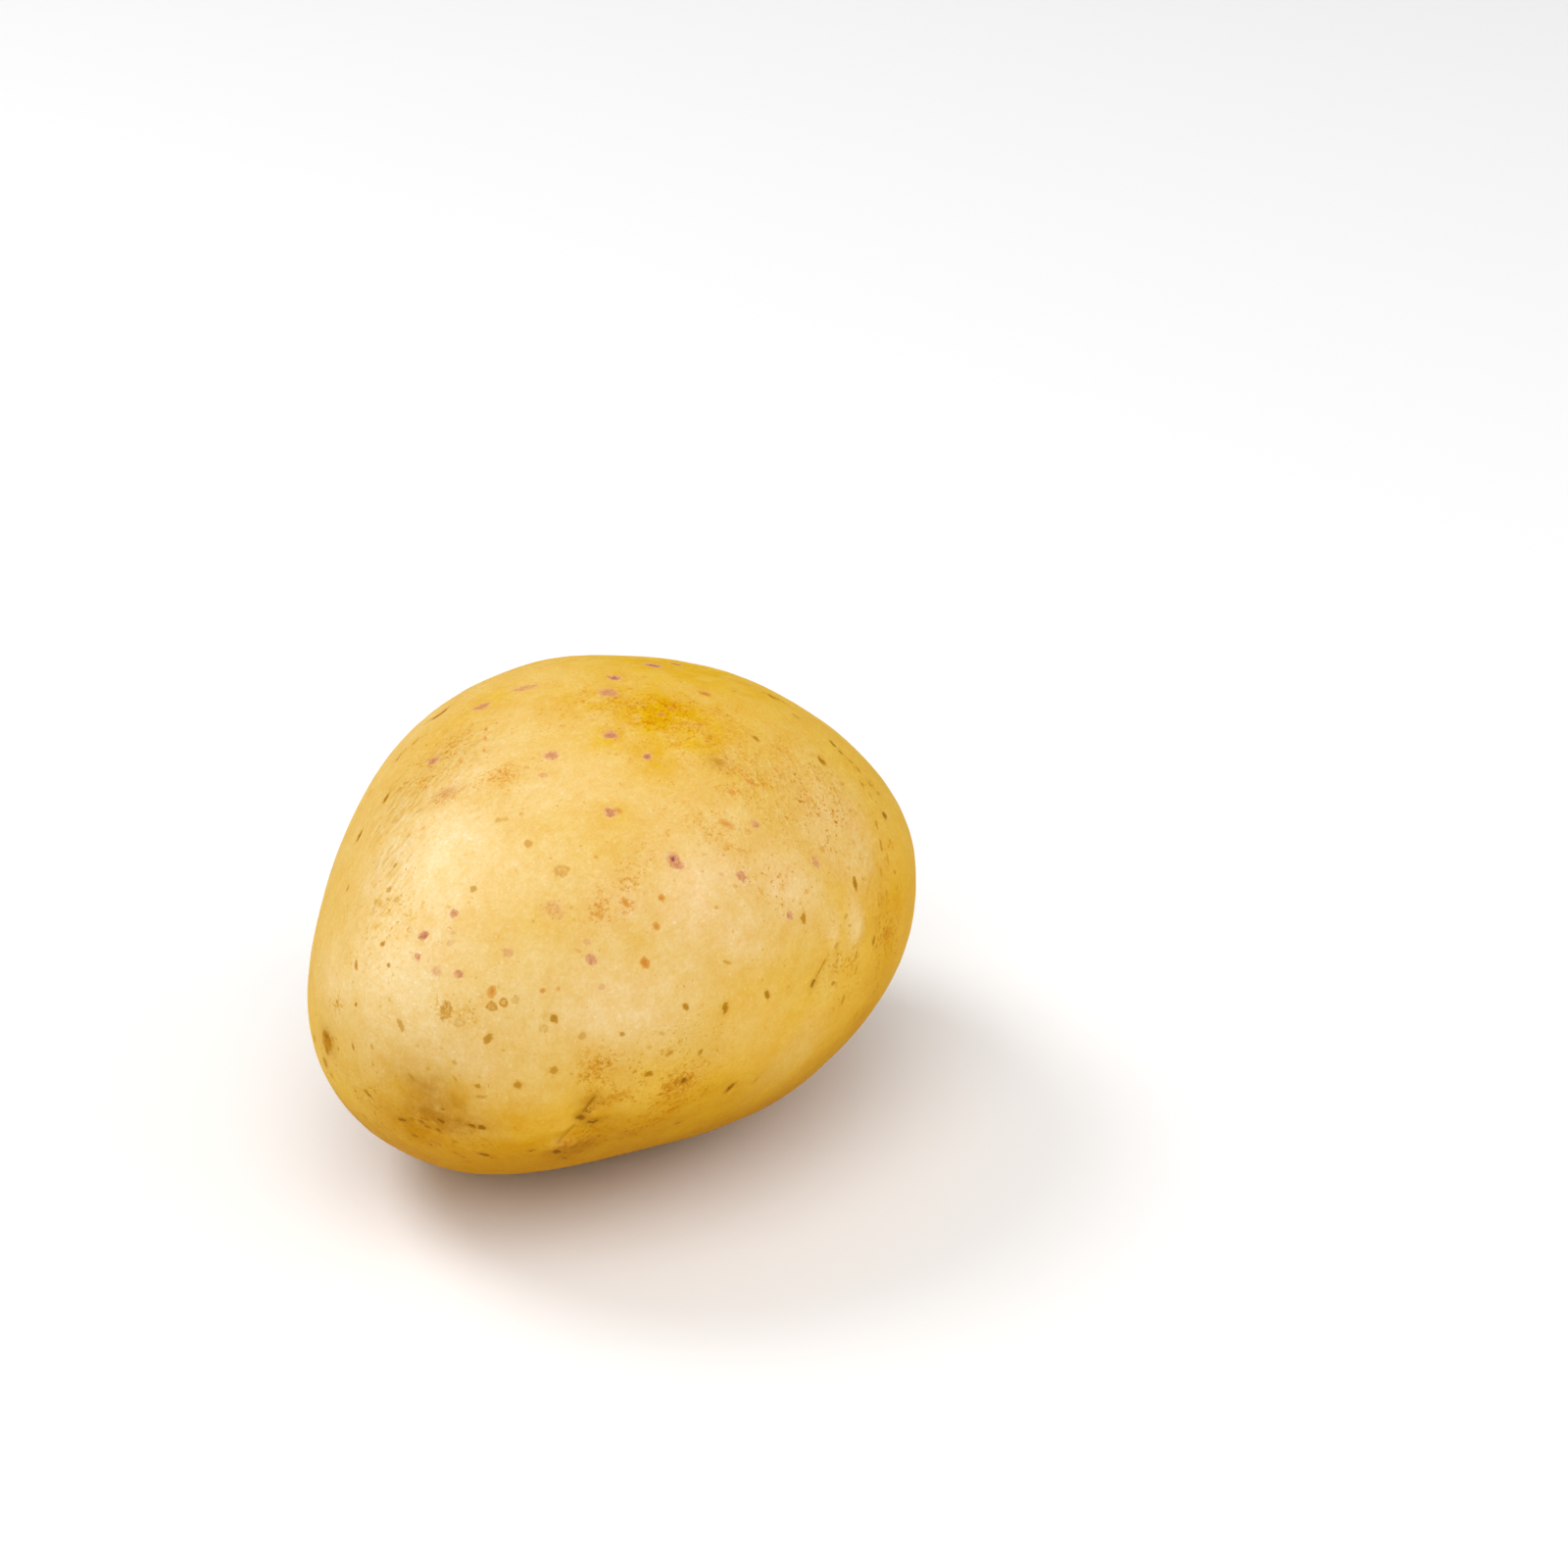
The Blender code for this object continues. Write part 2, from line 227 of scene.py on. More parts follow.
# Painted shade: amber patches where the skin is in shade, along the bottom, right of the front
# eye's fold, in the shallow hollow of the middle and on the right edge
PAINTED_SHADE_PATCHES = [
    (412, 1114, 3.0, 4.0, 60, 0.6), (466, 1125, 2.0, 4.0, 0, 0.8), (430, 1155, 9.0, 4.5, -20, 0.95),
    (520, 1172, 10.0, 3.4, 5, 0.8), (530, 1146, 4.5, 3.0, 0, 0.8), (605, 1150, 6.0, 5.0, 30, 0.8),
    (600, 1100, 4.0, 4.0, 30, 0.3), (690, 1130, 11.0, 4.5, 15, 0.7), (640, 945, 5.0, 8.0, 80, 0.25),
    (914, 915, 4.0, 8.0, 80, 0.75), (905, 975, 8.0, 3.5, 75, 0.8), (884, 1035, 6.0, 7.0, 60, 1.0),
]
# Dark smudges. Those right of the front eye's fold, at (588, 1174) and (606, 1160), also paint the
# shade of its sunk side.
SMUDGES_AND_SHADE = [
    (442, 1122, 5.0, 4.0, -25, 0.7), (450, 1141, 5.5, 2.6, 0, 1.0), (466, 1130, 1.6, 2.6, 0, 0.6),
    (422, 1150, 5.0, 3.0, -15, 0.5), (588, 1174, 3.4, 2.4, 12, 1.2), (606, 1160, 4.5, 3.0, 30, 0.4),
    (603, 1122, 1.4, 2.2, 50, 0.4), (455, 811, 2.6, 1.7, 10, 0.25), (734, 778, 1.6, 1.3, 0, 0.5),
    (884, 1030, 6.0, 5.0, 60, 0.2), (400, 1155, 5.0, 3.0, -30, 0.15),
]
# Where the skin is finely netted or speckled with russet
RUSSET_PATCHES = [
    (609, 1089, 3.6, 3.0, 0, 1.15), (606, 1113, 1.6, 1.4, 0, 1.0), (634, 1119, 5.0, 1.8, 8, 1.05),
    (653, 1108, 1.4, 2.0, 0, 0.9), (692, 1106, 5.6, 4.2, 20, 1.1), (690, 1128, 8.0, 3.6, 15, 0.9),
    (680, 1080, 9.0, 6.0, 20, 0.7), (645, 1155, 3.0, 2.6, 20, 0.8), (385, 1135, 7.0, 6.0, -30, 0.6),
    (440, 1155, 8.0, 5.0, 0, 0.7), (604, 1160, 6.0, 4.0, 20, 0.85), (578, 1168, 3.5, 2.0, 40, 1.0),
    (395, 930, 6.0, 9.0, 80, 0.6), (344, 1022, 1.8, 3.4, -80, 0.9), (345, 1068, 2.5, 2.5, -80, 0.4),
    (335, 1090, 2.0, 3.0, -70, 0.7), (455, 1032, 1.8, 2.4, 75, 1.1), (480, 1036, 2.5, 1.5, 10, 0.7),
    (440, 780, 9.0, 6.5, 30, 0.5), (850, 808, 7.0, 4.0, -45, 0.75), (862, 982, 8.0, 6.0, 60, 0.75),
    (903, 955, 9.0, 5.0, -78, 0.85), (835, 820, 10.0, 7.0, -45, 0.65),
    (880, 790, 9.0, 5.0, -48, 0.6), (790, 915, 8.0, 7.0, 0, 0.4), (630, 1150, 8.0, 4.0, 10, 0.6),
    (480, 1165, 8.0, 3.5, -5, 0.5),
]
# Where the specks and nets are orange-brown
RUST_PATCHES = [
    (510, 791, 4.4, 3.0, 15, 1.2), (466, 754, 4.5, 2.6, 25, 1.05), (457, 811, 3.2, 2.0, 15, 1.1),
    (440, 780, 9.0, 6.5, 30, 0.6), (620, 720, 8.0, 7.0, 0, 0.75), (690, 735, 13.0, 10.0, -10, 0.9),
    (765, 795, 13.0, 7.0, -35, 0.75), (799, 767, 3.4, 2.2, -30, 1.15),
    (765, 799, 3.0, 1.2, -20, 1.0), (747, 810, 2.2, 1.4, 0, 0.9), (845, 830, 8.0, 7.0, -45, 0.7),
    (735, 850, 9.0, 5.0, -30, 0.65), (611, 925, 3.2, 1.6, 80, 1.35), (642, 899, 2.6, 1.6, 70, 1.15),
    (645, 890, 6.5, 2.6, 55, 0.9), (638, 925, 2.4, 2.0, 80, 0.9), (566, 928, 2.0, 1.6, 0, 0.9),
    (795, 905, 8.0, 7.0, 0, 0.55), (905, 870, 7.0, 3.0, -70, 0.6),
]
# Where the fine wrinkles are deep enough to see, in the bump and in the painted shade of their
# grooves and painted highlight of their crests
WRINKLED_PATCHES = [
    (415, 815, 8.0, 6.0, 55, 1.0), (400, 880, 7.0, 5.0, 65, 0.9), (455, 775, 8.0, 6.0, 35, 0.9),
    (500, 820, 8.0, 5.0, 20, 0.35), (640, 720, 12.0, 8.0, 0, 0.35), (780, 790, 12.0, 8.0, -40, 0.5),
    (850, 800, 9.0, 6.0, -50, 0.5), (890, 900, 10.0, 5.0, -70, 0.5), (600, 1160, 5.0, 4.0, 0, 0.5),
]

# Low bumps seen in the photograph: pixel, width and height in mm
BUMPS = [
    (847, 948, 4.0, 0.42), (873, 945, 4.0, 0.50), (893, 925, 3.4, 0.30), (858, 985, 4.4, 0.25),
    (574, 1152, 2.4, 0.26), (604, 1137, 2.2, 0.22), (582, 1168, 1.8, 0.26), (563, 1172, 1.6, 0.20),
]

# Eyes of the hidden sides: where each one is, in degrees as the solid's source gives them,
# the length of its brow in mm, and how far it is turned.
HIDDEN_EYES = {
    "bud end, centre": (8.0, 4.0, 8.0, 0.0),
    "bud end, upper": (352.0, 40.0, 9.0, 20.0),
    "bud end, front": (334.0, -14.0, 9.0, -10.0),
    "bud end, back": (32.0, 18.0, 10.0, 15.0),
    "back, upper": (66.0, 24.0, 12.0, 10.0),
    "back, middle": (108.0, -4.0, 13.0, -8.0),
    "back, low": (48.0, -32.0, 11.0, 0.0),
    "stem end, low": (142.0, -30.0, 12.0, 5.0),
    "underside, front": (292.0, -50.0, 12.0, -12.0),
}

# The scar where the tuber hung from its root: its pixel in the photograph and its width in mm.
# Its rim and its dimple: height or depth in mm, and reach, with the rim's middle between them,
# in half-widths.
STEM_SCAR = (335, 1062, 3.0)
SCAR_RIM = (0.18, 0.85, 0.3)
SCAR_DIMPLE = (0.30, 0.5)

# Marks of the hidden sides: how many of each kind, and the range of their widths in mm
HIDDEN_COUNTS = {"purple": 46, "orange": 20, "brown": 220, "ring": 26, "patch": 34}
HIDDEN_WIDTHS = {
    "purple": (0.7, 1.6),
    "orange": (0.5, 1.3),
    "brown": (0.4, 1.15),
    "ring": (0.9, 1.7),
    "patch": (2.5, 8.0),
}
# Skin turned less than this towards the camera counts as hidden. The power of a random share
# makes small marks more common than wide ones.
LEAST_SEEN = 0.02
SMALL_BIAS = 1.6
# What a patch of the hidden sides can be: one is drawn for each, so russet comes up more
HIDDEN_CLOUDS = ["gold", "pink", "pale", "russet", "russet", "rust", "smudge_and_shade", "wrinkle"]

# Marks of a kind are spread over some layers, so that no two that are close share one. In its
# layer a mark is kept out to a number of half-widths, and at least to a distance in mm. Its
# offsets are stored for a margin in mm past that. Elsewhere they are far, in half-widths.
MARK_LAYERS = {"ring": 3, "orange": 2, "brown": 4, "purple": 3, "crack": 4}
MARK_RIMS = {"ring": 2.2, "orange": 2.2, "brown": 2.4, "purple": 3.2, "crack": 3.4}
LEAST_RIM = 0.85
MARGIN = 2.0
FAR = 6.0


def way_out(azimuth, elevation):
    """The way from the potato to a place round it: degrees from -Y towards +X, and up."""
    around, above = math.radians(azimuth), math.radians(elevation)
    return Vector((
        math.sin(around) * math.cos(above),
        -math.cos(around) * math.cos(above),
        math.sin(above),
    ))


def add_object(name, data):
    thing = bpy.data.objects.new(name, data)
    bpy.context.scene.collection.objects.link(thing)
    return thing


class Camera:
    """Turns the photograph's pixels into rays."""

    def __init__(self):
        azimuth = math.radians(CAMERA_AZIMUTH)
        self.back = way_out(CAMERA_AZIMUTH, CAMERA_ELEVATION)
        self.right = Vector((math.cos(azimuth), math.sin(azimuth), 0.0))
        self.up = self.back.cross(self.right)
        across, down = self.off_axis(*MIDDLE_PIXEL)
        self.eye = MIDDLE + CAMERA_DISTANCE * (self.back - across * self.right + down * self.up)

    def off_axis(self, x, y):
        """How far right and down of the picture's middle a pixel is, for a depth of 1."""
        scale = SENSOR / LENS / PHOTO_SIDE
        return (x - PHOTO_SIDE / 2) * scale, (y - PHOTO_SIDE / 2) * scale

    def ray(self, x, y):
        across, down = self.off_axis(x, y)
        return (across * self.right - down * self.up - self.back).normalized()


def rounded_cube(grid):
    """A cube's faces in a grid, and the way that each corner looks from the middle."""
    shape = bmesh.new()
    bmesh.ops.create_cube(shape, size=2.0)
    bmesh.ops.subdivide_edges(shape, edges=shape.edges, cuts=grid - 1, use_grid_fill=True)
    places = np.array([vert.co for vert in shape.verts])
    even = np.tan(places * math.pi / 4)
    return shape, places, even / np.linalg.norm(even, axis=1, keepdims=True)


def smooth_form():
    """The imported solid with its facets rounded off, as a tree to cast rays at."""
    shape = bmesh.new()
    shape.from_mesh(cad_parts[NODE].data)
    bmesh.ops.remove_doubles(shape, verts=shape.verts, dist=WELD * MM)
    bmesh.ops.join_triangles(
        shape, faces=shape.faces, angle_face_threshold=QUAD, angle_shape_threshold=QUAD
    )
    mesh = bpy.data.meshes.new("form")
    shape.to_mesh(mesh)
    shape.free()
    form = add_object("form", mesh)
    form.modifiers.new("rounder", "SUBSURF").levels = 2
    tree = BVHTree.FromObject(form, bpy.context.evaluated_depsgraph_get())
    bpy.data.objects.remove(form)
    return tree


def cast(tree, origin, ways):
    """Where rays from the middle leave the form."""
    return np.array([tree.ray_cast(origin, Vector(way))[0] for way in ways])


def grown_normals(shape):
    shape.normal_update()
    return np.array([vert.normal for vert in shape.verts])


class Layer:
    """Marks that lie apart. Each point of the mesh holds how far along and across its mark
    it is from the middle, in half-widths, and how strongly the mark shows there."""

    def __init__(self, count):
        self.values = np.tile([FAR, FAR, 0.0], (count, 1))
        self.taken = []

    def room(self, middle, span):
        """The gap between a new mark and the nearest one, in mm: less than 0 if they meet."""
        gaps = [(middle - other).length / MM - span - taken for other, taken in self.taken]
        return min(gaps, default=FAR)

    def put(self, middle, span, along, across, shown, near):
        self.taken.append((middle, span))
        kept = self.values[:, 2]
        mine = (shown > kept) | (near & (kept == 0.0))
        self.values[mine] = np.column_stack([along, across, shown])[mine]


class Skin:
    """The fine mesh while it is made: points, their normals, and the fields of the marks."""

    def __init__(self):
        self.camera = Camera()
        self.tree = smooth_form()
        self.shape, self.cube_places, ways = rounded_cube(GRID)
        for vert, point in zip(self.shape.verts, cast(self.tree, MIDDLE, ways)):
            vert.co = point
        for _ in range(SMOOTHING_ROUNDS):
            bmesh.ops.smooth_vert(
                self.shape, verts=self.shape.verts, factor=0.5,
                use_axis_x=True, use_axis_y=True, use_axis_z=True,
            )
        self.normals = grown_normals(self.shape)
        self.points = np.array([vert.co for vert in self.shape.verts])
        self.seen = self.normals @ np.array(self.camera.back)
        self.raised = np.zeros(len(self.points))
        self.fields = {}
        self.layers = {
            kind: [Layer(len(self.points)) for _ in range(count)]
            for kind, count in MARK_LAYERS.items()
        }

    def field(self, name):
        if name not in self.fields:
            self.fields[name] = np.zeros(len(self.points))
        return self.fields[name]

    def site_at_pixel(self, x, y):
        """The point of the form that a pixel shows, and the picture's right along it."""
        way = self.camera.ray(x, y)
        point, normal, _, _ = self.tree.ray_cast(self.camera.eye, way)
        return point, normal, self.camera.right

    def site_towards(self, longitude, latitude):
        """The point of the form in a direction from its middle, and the bud's way along it."""
        east, north = math.radians(longitude), math.radians(latitude)
        flat = math.cos(north)
        way = Vector((flat * math.cos(east), flat * math.sin(east), math.sin(north)))
        point, normal, _, _ = self.tree.ray_cast(MIDDLE, way)
        return point, normal * math.copysign(1.0, normal.dot(way)), Vector((1.0, 0.0, 0.0))

    def offsets(self, site, turn):
        """For each point of the mesh, how far it is from a site in mm: along a way over the
        skin, across that way, and out from the skin."""
        point, normal, side = site
        first = (side - side.dot(normal) * normal).normalized()
        angle = math.radians(turn)
        along = math.cos(angle) * first + math.sin(angle) * normal.cross(first)
        axes = np.array([along, normal.cross(along), normal])
        return axes @ (self.points - np.array(point)).T / MM

    def reach(self, site, along_mm, across_mm, turn):
        """For each point of the mesh, its distance from a site in half-lengths of an oval."""
        along, across, out = self.offsets(site, turn)
        farthest = max(along_mm, across_mm)
        return np.sqrt((along / along_mm)**2 + (across / across_mm)**2 + (out / farthest)**2)

    def mark(self, kind, middle, along, across, away, span, strength):
        """Adds a mark to the layer of its kind that has room. Along and across are in
        half-widths of the mark, away from it and its span are in mm."""
        rim = MARK_RIMS[kind]
        near = np.linalg.norm(self.points - np.array(middle), axis=1) < (span + MARGIN) * MM
        kept = fade(np.hypot(along, across), rim, rim + 1.0)
        kept = np.maximum(kept, fade(away, LEAST_RIM, 2 * LEAST_RIM))
        rooms = [min(layer.room(middle, span), 0.0) for layer in self.layers[kind]]
        layer = self.layers[kind][rooms.index(max(rooms))]
        layer.put(middle, span, along, across, strength * kept * near, near)


def fade(value, start, end):
    """1 where the value is at or under start, 0 at or over end, smooth between."""
    part = np.clip((value - end) / (start - end), 0.0, 1.0)
    return part * part * (3 - 2 * part)


def hump(reach):
    """A smooth rise to 1 at a site's middle."""
    return np.exp(-(reach**2))


def roll_skin(skin):
    """Lifts and lowers the skin in soft swellings of a few sizes."""
    for number, (size, height) in enumerate(SWELLINGS.values()):
        shift = SWELLING_SHIFT * (number + 1)
        rolled = [noise.noise(Vector(point) / (size * MM) + shift) for point in skin.points]
        skin.raised += height * np.array(rolled)


def add_oval(skin, kind, site, width, stretch, turn, strength):
    """An oval mark for the material. Gives each point's distance from it in half-widths."""
    half_length, half_width = width * stretch / 2, width / 2
    along, across, out = skin.offsets(site, turn)
    away = np.sqrt(along**2 + across**2 + out**2)
    span = max((MARK_RIMS[kind] + 1.0) * half_length, 2 * LEAST_RIM)
    skin.mark(kind, site[0], along / half_length, across / half_width, away, span, strength)
    return skin.reach(site, half_length, half_width, turn)


# Depth of a pore's pit and height of its rim, in mm
PORE_RELIEF = {
    "purple": (0.07, 0.035),
    "orange": (0.03, 0.02),
    "brown": (0.11, 0.03),
    "ring": (-0.02, 0.03),
}
# Where the pit's wall starts and ends, and the rim's middle and reach, in half-widths
PIT_WALL = (0.3, 1.2)
RIM_MIDDLE = 1.25
RIM_REACH = 0.45


def add_pore(skin, kind, site, width, stretch, turn, strength):
    """A pore: a pit in a low rim, and its mark for the material."""
    depth, rim = PORE_RELIEF[kind]
    reach = add_oval(skin, kind, site, width, stretch, turn, strength)
    skin.raised -= depth * min(strength, 1.0) * fade(reach, *PIT_WALL)
    skin.raised += rim * min(strength, 1.0) * hump((reach - RIM_MIDDLE) / RIM_REACH)


def add_seen_pores(skin):
    kinds = {
        "purple": PURPLE_PORES, "orange": ORANGE_PORES, "brown": BROWN_SPOTS, "ring": RING_PORES
    }
    for kind, pores in kinds.items():
        for x, y, width, stretch, turn, strength in pores:
            add_pore(skin, kind, skin.site_at_pixel(x, y), width, stretch, turn, strength)


def add_patch(skin, kind, site, along, across, turn, strength):
    patch = strength * hump(skin.reach(site, along, across, turn))
    np.maximum(skin.field(kind), patch, out=skin.field(kind))


def add_seen_patches(skin):
    kinds = {
        "gold": GOLD_PATCHES, "pink": PINK_PATCHES, "pale": PALE_AND_HIGHLIGHT_PATCHES,
        "painted_shade": PAINTED_SHADE_PATCHES, "smudge_and_shade": SMUDGES_AND_SHADE, "russet": RUSSET_PATCHES,
        "rust": RUST_PATCHES, "wrinkle": WRINKLED_PATCHES,
    }
    for kind, patches in kinds.items():
        for x, y, along, across, turn, strength in patches:
            add_patch(skin, kind, skin.site_at_pixel(x, y), along, across, turn, strength)


def add_bumps(skin):
    for x, y, width, height in BUMPS:
        site = skin.site_at_pixel(x, y)
        skin.raised += height * hump(skin.reach(site, width / 2, width / 2, 0.0))


def beside_path(skin, path):
    """For each point, how far it is to the left of a line over the skin, in mm (less than 0
    on its right), and how far along the line it is, from 0 to 1."""
    nearest = np.full(len(skin.points), np.inf)
    left = np.zeros(len(skin.points))
    along = np.zeros(len(skin.points))
    for number, (start, end) in enumerate(zip(path, path[1:])):
        start, run = np.array(start), np.array(end) - np.array(start)
        share = np.clip((skin.points - start) @ run / (run @ run), 0.0, 1.0)
        offset = skin.points - (start + share[:, None] * run)
        away = np.linalg.norm(offset, axis=1)
        side = np.sign((np.cross(run, offset) * skin.normals).sum(axis=1))
        closer = away < nearest
        nearest[closer] = away[closer]
        left[closer] = (side * away)[closer] / MM
        along[closer] = ((number + share) / (len(path) - 1))[closer]
    return left, along


# A crack's groove reaches this many half-widths, and its line runs out to a point by counting
# its ends as this many half-widths off it
GROOVE_REACH = 1.3
TIP_OFFSET = 1.6


def add_crack(skin, path, width, depth, darkness):
    """A groove along a path over the skin, which narrows to both ends."""
    left, along = beside_path(skin, path)
    ends = fade(np.abs(along - 0.5), 0.25, 0.5)
    reach = left / (width / 2)
    skin.raised -= depth * ends * hump(reach / GROOVE_REACH)
    span = (path[0] - path[-1]).length / MM / 2 + 2 * LEAST_RIM
    middle = (path[0] + path[-1]) / 2
    skin.mark("crack", middle, reach, TIP_OFFSET * (1 - ends), np.abs(left), span, darkness)


def add_seen_cracks(skin):
    for pixels, width, depth, darkness in CRACKS.values():
        path = [skin.site_at_pixel(x, y)[0] for x, y in pixels]
        add_crack(skin, path, width, depth, darkness)


# A hidden eye's crease: how far its brow side rises and its bud side sinks, each with its
# reach, and half the step between them, in mm. Then its crack's width, depth and darkness.
CREASE_RISE = (0.26, 1.8)
CREASE_DROP = (0.34, 1.5)
CREASE_STEP = 0.4
EYE_CRACK = (0.6, 0.06, 0.38)
# The crease's path: its bow, the length of a step and the steps to each end, in brow lengths
CREASE_BOW = 0.9
CREASE_STRIDE = 0.09
CREASE_STEPS = 4
# The buds of an eye: how many, how far ahead of the crease and how far apart they are and how
# far they may stand off that, in brow lengths. Then how far one swells, its half-widths, and
# its tip's least width and what chance may add, in mm.
BUD_COUNT = 3
BUD_AHEAD = 0.10
BUD_GAP = 0.13
BUD_STRAY = (0.08, 0.05)
BUD_SWELLING = 0.20
BUD_SIZE = (0.6, 0.8)
BUD_TIP = (0.35, 0.3)


def places_beside(skin, site, brow, turn):
    """Finds the form's nearest point to a place beside an eye, given in brow lengths."""
    point, normal, side = site
    ahead = (side - side.dot(normal) * normal).normalized()
    ahead.rotate(Quaternion(normal, math.radians(turn)))
    aside = normal.cross(ahead)

    def place(forward, sideward):
        guess = point + brow * MM * (forward * ahead + sideward * aside)
        nearest, out, _, _ = skin.tree.find_nearest(guess)
        return nearest, out, side

    return place


def add_crease(skin, place):
    """A bowed step down from the brow, with a crack along it."""
    strides = [CREASE_STRIDE * step for step in range(-CREASE_STEPS, CREASE_STEPS + 1)]
    path = [place(CREASE_BOW * stride**2, stride)[0] for stride in strides]
    left, along = beside_path(skin, path)
    ends = fade(np.abs(along - 0.5), 0.1, 0.5)
    browside = fade(-left, -CREASE_STEP, CREASE_STEP)
    rise, rise_reach = CREASE_RISE
    drop, drop_reach = CREASE_DROP
    raised = browside * rise * hump(left / rise_reach)
    sunk = (1 - browside) * drop * hump(left / drop_reach)
    skin.raised += ends * (raised - sunk)
    add_crack(skin, path, *EYE_CRACK)


def add_buds(skin, place, turn, rng):
    """A row of low buds with dark tips, on the crease's bud side."""
    for number in range(BUD_COUNT):
        forward = BUD_AHEAD + BUD_STRAY[0] * rng.random()
        sideward = BUD_GAP * (number - 1) + BUD_STRAY[1] * rng.random()
        bud = place(forward, sideward)
        skin.raised += BUD_SWELLING * hump(skin.reach(bud, *BUD_SIZE, turn))
        tip = BUD_TIP[0] + BUD_TIP[1] * rng.random()
        add_pore(skin, "brown", bud, tip, 1.5, turn + 90.0, 0.75)


def add_hidden_eyes(skin):
    """Gives each eye of the hidden sides its crease, buds and stains."""
    rng = np.random.default_rng(SEED + 1)
    for longitude, latitude, brow, turn in HIDDEN_EYES.values():
        site = skin.site_towards(longitude, latitude)
        place = places_beside(skin, site, brow, turn)
        add_crease(skin, place)
        add_buds(skin, place, turn, rng)
        add_patch(skin, "smudge_and_shade", site, 1.8, 3.0, turn, 0.35)
        add_patch(skin, "russet", site, 2.5, 4.5, turn, 0.85)


def add_stem_scar(skin):
    """The dry scar where the tuber hung from its root: a ragged ring round a dark dimple."""
    x, y, width = STEM_SCAR
    site = skin.site_at_pixel(x, y)
    reach = skin.reach(site, width / 2, width / 2, 0.0)
    height, middle, rim_reach = SCAR_RIM
    depth, dimple_reach = SCAR_DIMPLE
    rim = height * hump((reach - middle) / rim_reach)
    skin.raised += rim - depth * hump(reach / dimple_reach)
    add_oval(skin, "ring", site, width, 1.0, 0.0, 0.4)
    add_pore(skin, "brown", site, 0.36 * width, 1.2, 30.0, 0.9)
    add_patch(skin, "smudge_and_shade", site, 0.6 * width, 0.6 * width, 0.0, 0.7)
    add_patch(skin, "russet", site, 1.3 * width, 1.3 * width, 0.0, 0.5)


def add_hidden_marks(skin):
    """Pores and patches of the sides that the photograph doesn't show, from the seed."""
    rng = np.random.default_rng(SEED)
    hidden = np.flatnonzero(skin.seen < LEAST_SEEN)
    for kind, count in HIDDEN_COUNTS.items():
        least, most = HIDDEN_WIDTHS[kind]
        for place in rng.choice(hidden, count, replace=False):
            site = (Vector(skin.points[place]), Vector(skin.normals[place]), Vector((1, 0, 0)))
            width = least + (most - least) * rng.random() ** SMALL_BIAS
            stretch = 1.0 + rng.random() ** 2
            turn = 180 * rng.random()
            strength = 0.3 + 0.7 * rng.random()
            if kind == "patch":
                cloud = rng.choice(HIDDEN_CLOUDS)
                add_patch(skin, cloud, site, width * stretch, width, turn, strength)
            else:
                add_pore(skin, kind, site, width, stretch, turn, strength)


def chart(skin):
    """One square of the map for each side of the cube that the mesh grew from."""
    layer = skin.shape.loops.layers.uv.new("OFBake")
    for face in skin.shape.faces:
        places = [skin.cube_places[loop.vert.index] for loop in face.loops]
        middle = np.mean(places, axis=0)
        axis = int(np.argmax(np.abs(middle)))
        others = [other for other in range(3) if other != axis]
        column, row = axis, int(middle[axis] > 0)
        for loop, place in zip(face.loops, places):
            across, along = (place[others] + 1) / 2 * (1 - 2 * CHART_GAP) + CHART_GAP
            loop[layer].uv = ((column + across) / 3, (row + along) / 2)


def raise_points(skin):
    """Moves each point by what was gathered for it, less so close to the floor."""
    share = np.clip(skin.points[:, 2] / (CALM_HEIGHT * MM), 0.0, 1.0)
    moved = skin.points + skin.normals * (skin.raised * MM * share)[:, None]
    moved[:, 2] = np.maximum(moved[:, 2], 0.0)
    for vert, point in zip(skin.shape.verts, moved):
        vert.co = point


def store_marks(skin, mesh):
    """Hands the patches and the layers of marks to the material, as attributes."""
    for name, values in skin.fields.items():
        mesh.attributes.new(name, "FLOAT", "POINT").data.foreach_set("value", values)
    for kind, layers in skin.layers.items():
        for number, layer in enumerate(layers):
            kept = mesh.attributes.new(f"{kind}_{number}", "FLOAT_VECTOR", "POINT")
            kept.data.foreach_set("vector", layer.values.ravel())


def make_skin():
    skin = Skin()
    roll_skin(skin)
    add_seen_patches(skin)
    add_bumps(skin)
    add_seen_cracks(skin)
    add_seen_pores(skin)
    add_hidden_eyes(skin)
    add_stem_scar(skin)
    add_hidden_marks(skin)
    raise_points(skin)
    chart(skin)
    mesh = bpy.data.meshes.new("potato_skin")
    skin.shape.to_mesh(mesh)
    skin.shape.free()
    mesh.shade_smooth()
    store_marks(skin, mesh)
    mesh.materials.append(skin_material())
    piece = add_object("potato_skin", mesh)
    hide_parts(NODE)
    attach(piece, "root")


# The way towards the light from which the tuber looks palest. The skin's colour follows how far
# it is turned from there: 1 looks straight that way, 0 across it and -1 straight back. This is
# painted light and shade: paler facing the light, deeper yellow turned across it, plainer again
# straight back.
LIT_SIDE = (-0.61, -0.31, 0.73)
GROUND_AND_SHADE = {
    -1.0: (0.79, 0.54, 0.17),
    -0.7: (0.77, 0.49, 0.11),
    -0.45: (0.745, 0.44, 0.06),
    -0.15: (0.71, 0.37, 0.015),
    0.25: (0.785, 0.465, 0.050),
    0.5: (0.75, 0.46, 0.085),
    0.7: (0.755, 0.48, 0.12),
    0.95: (0.785, 0.54, 0.19),
}

# Colours of the patches and the marks
# The first also paints highlights
PALE = (0.89, 0.68, 0.35)
PINK = (0.84, 0.59, 0.28)
AMBER = (0.69, 0.345, 0.001)
GOLD = (0.715, 0.405, 0.002)
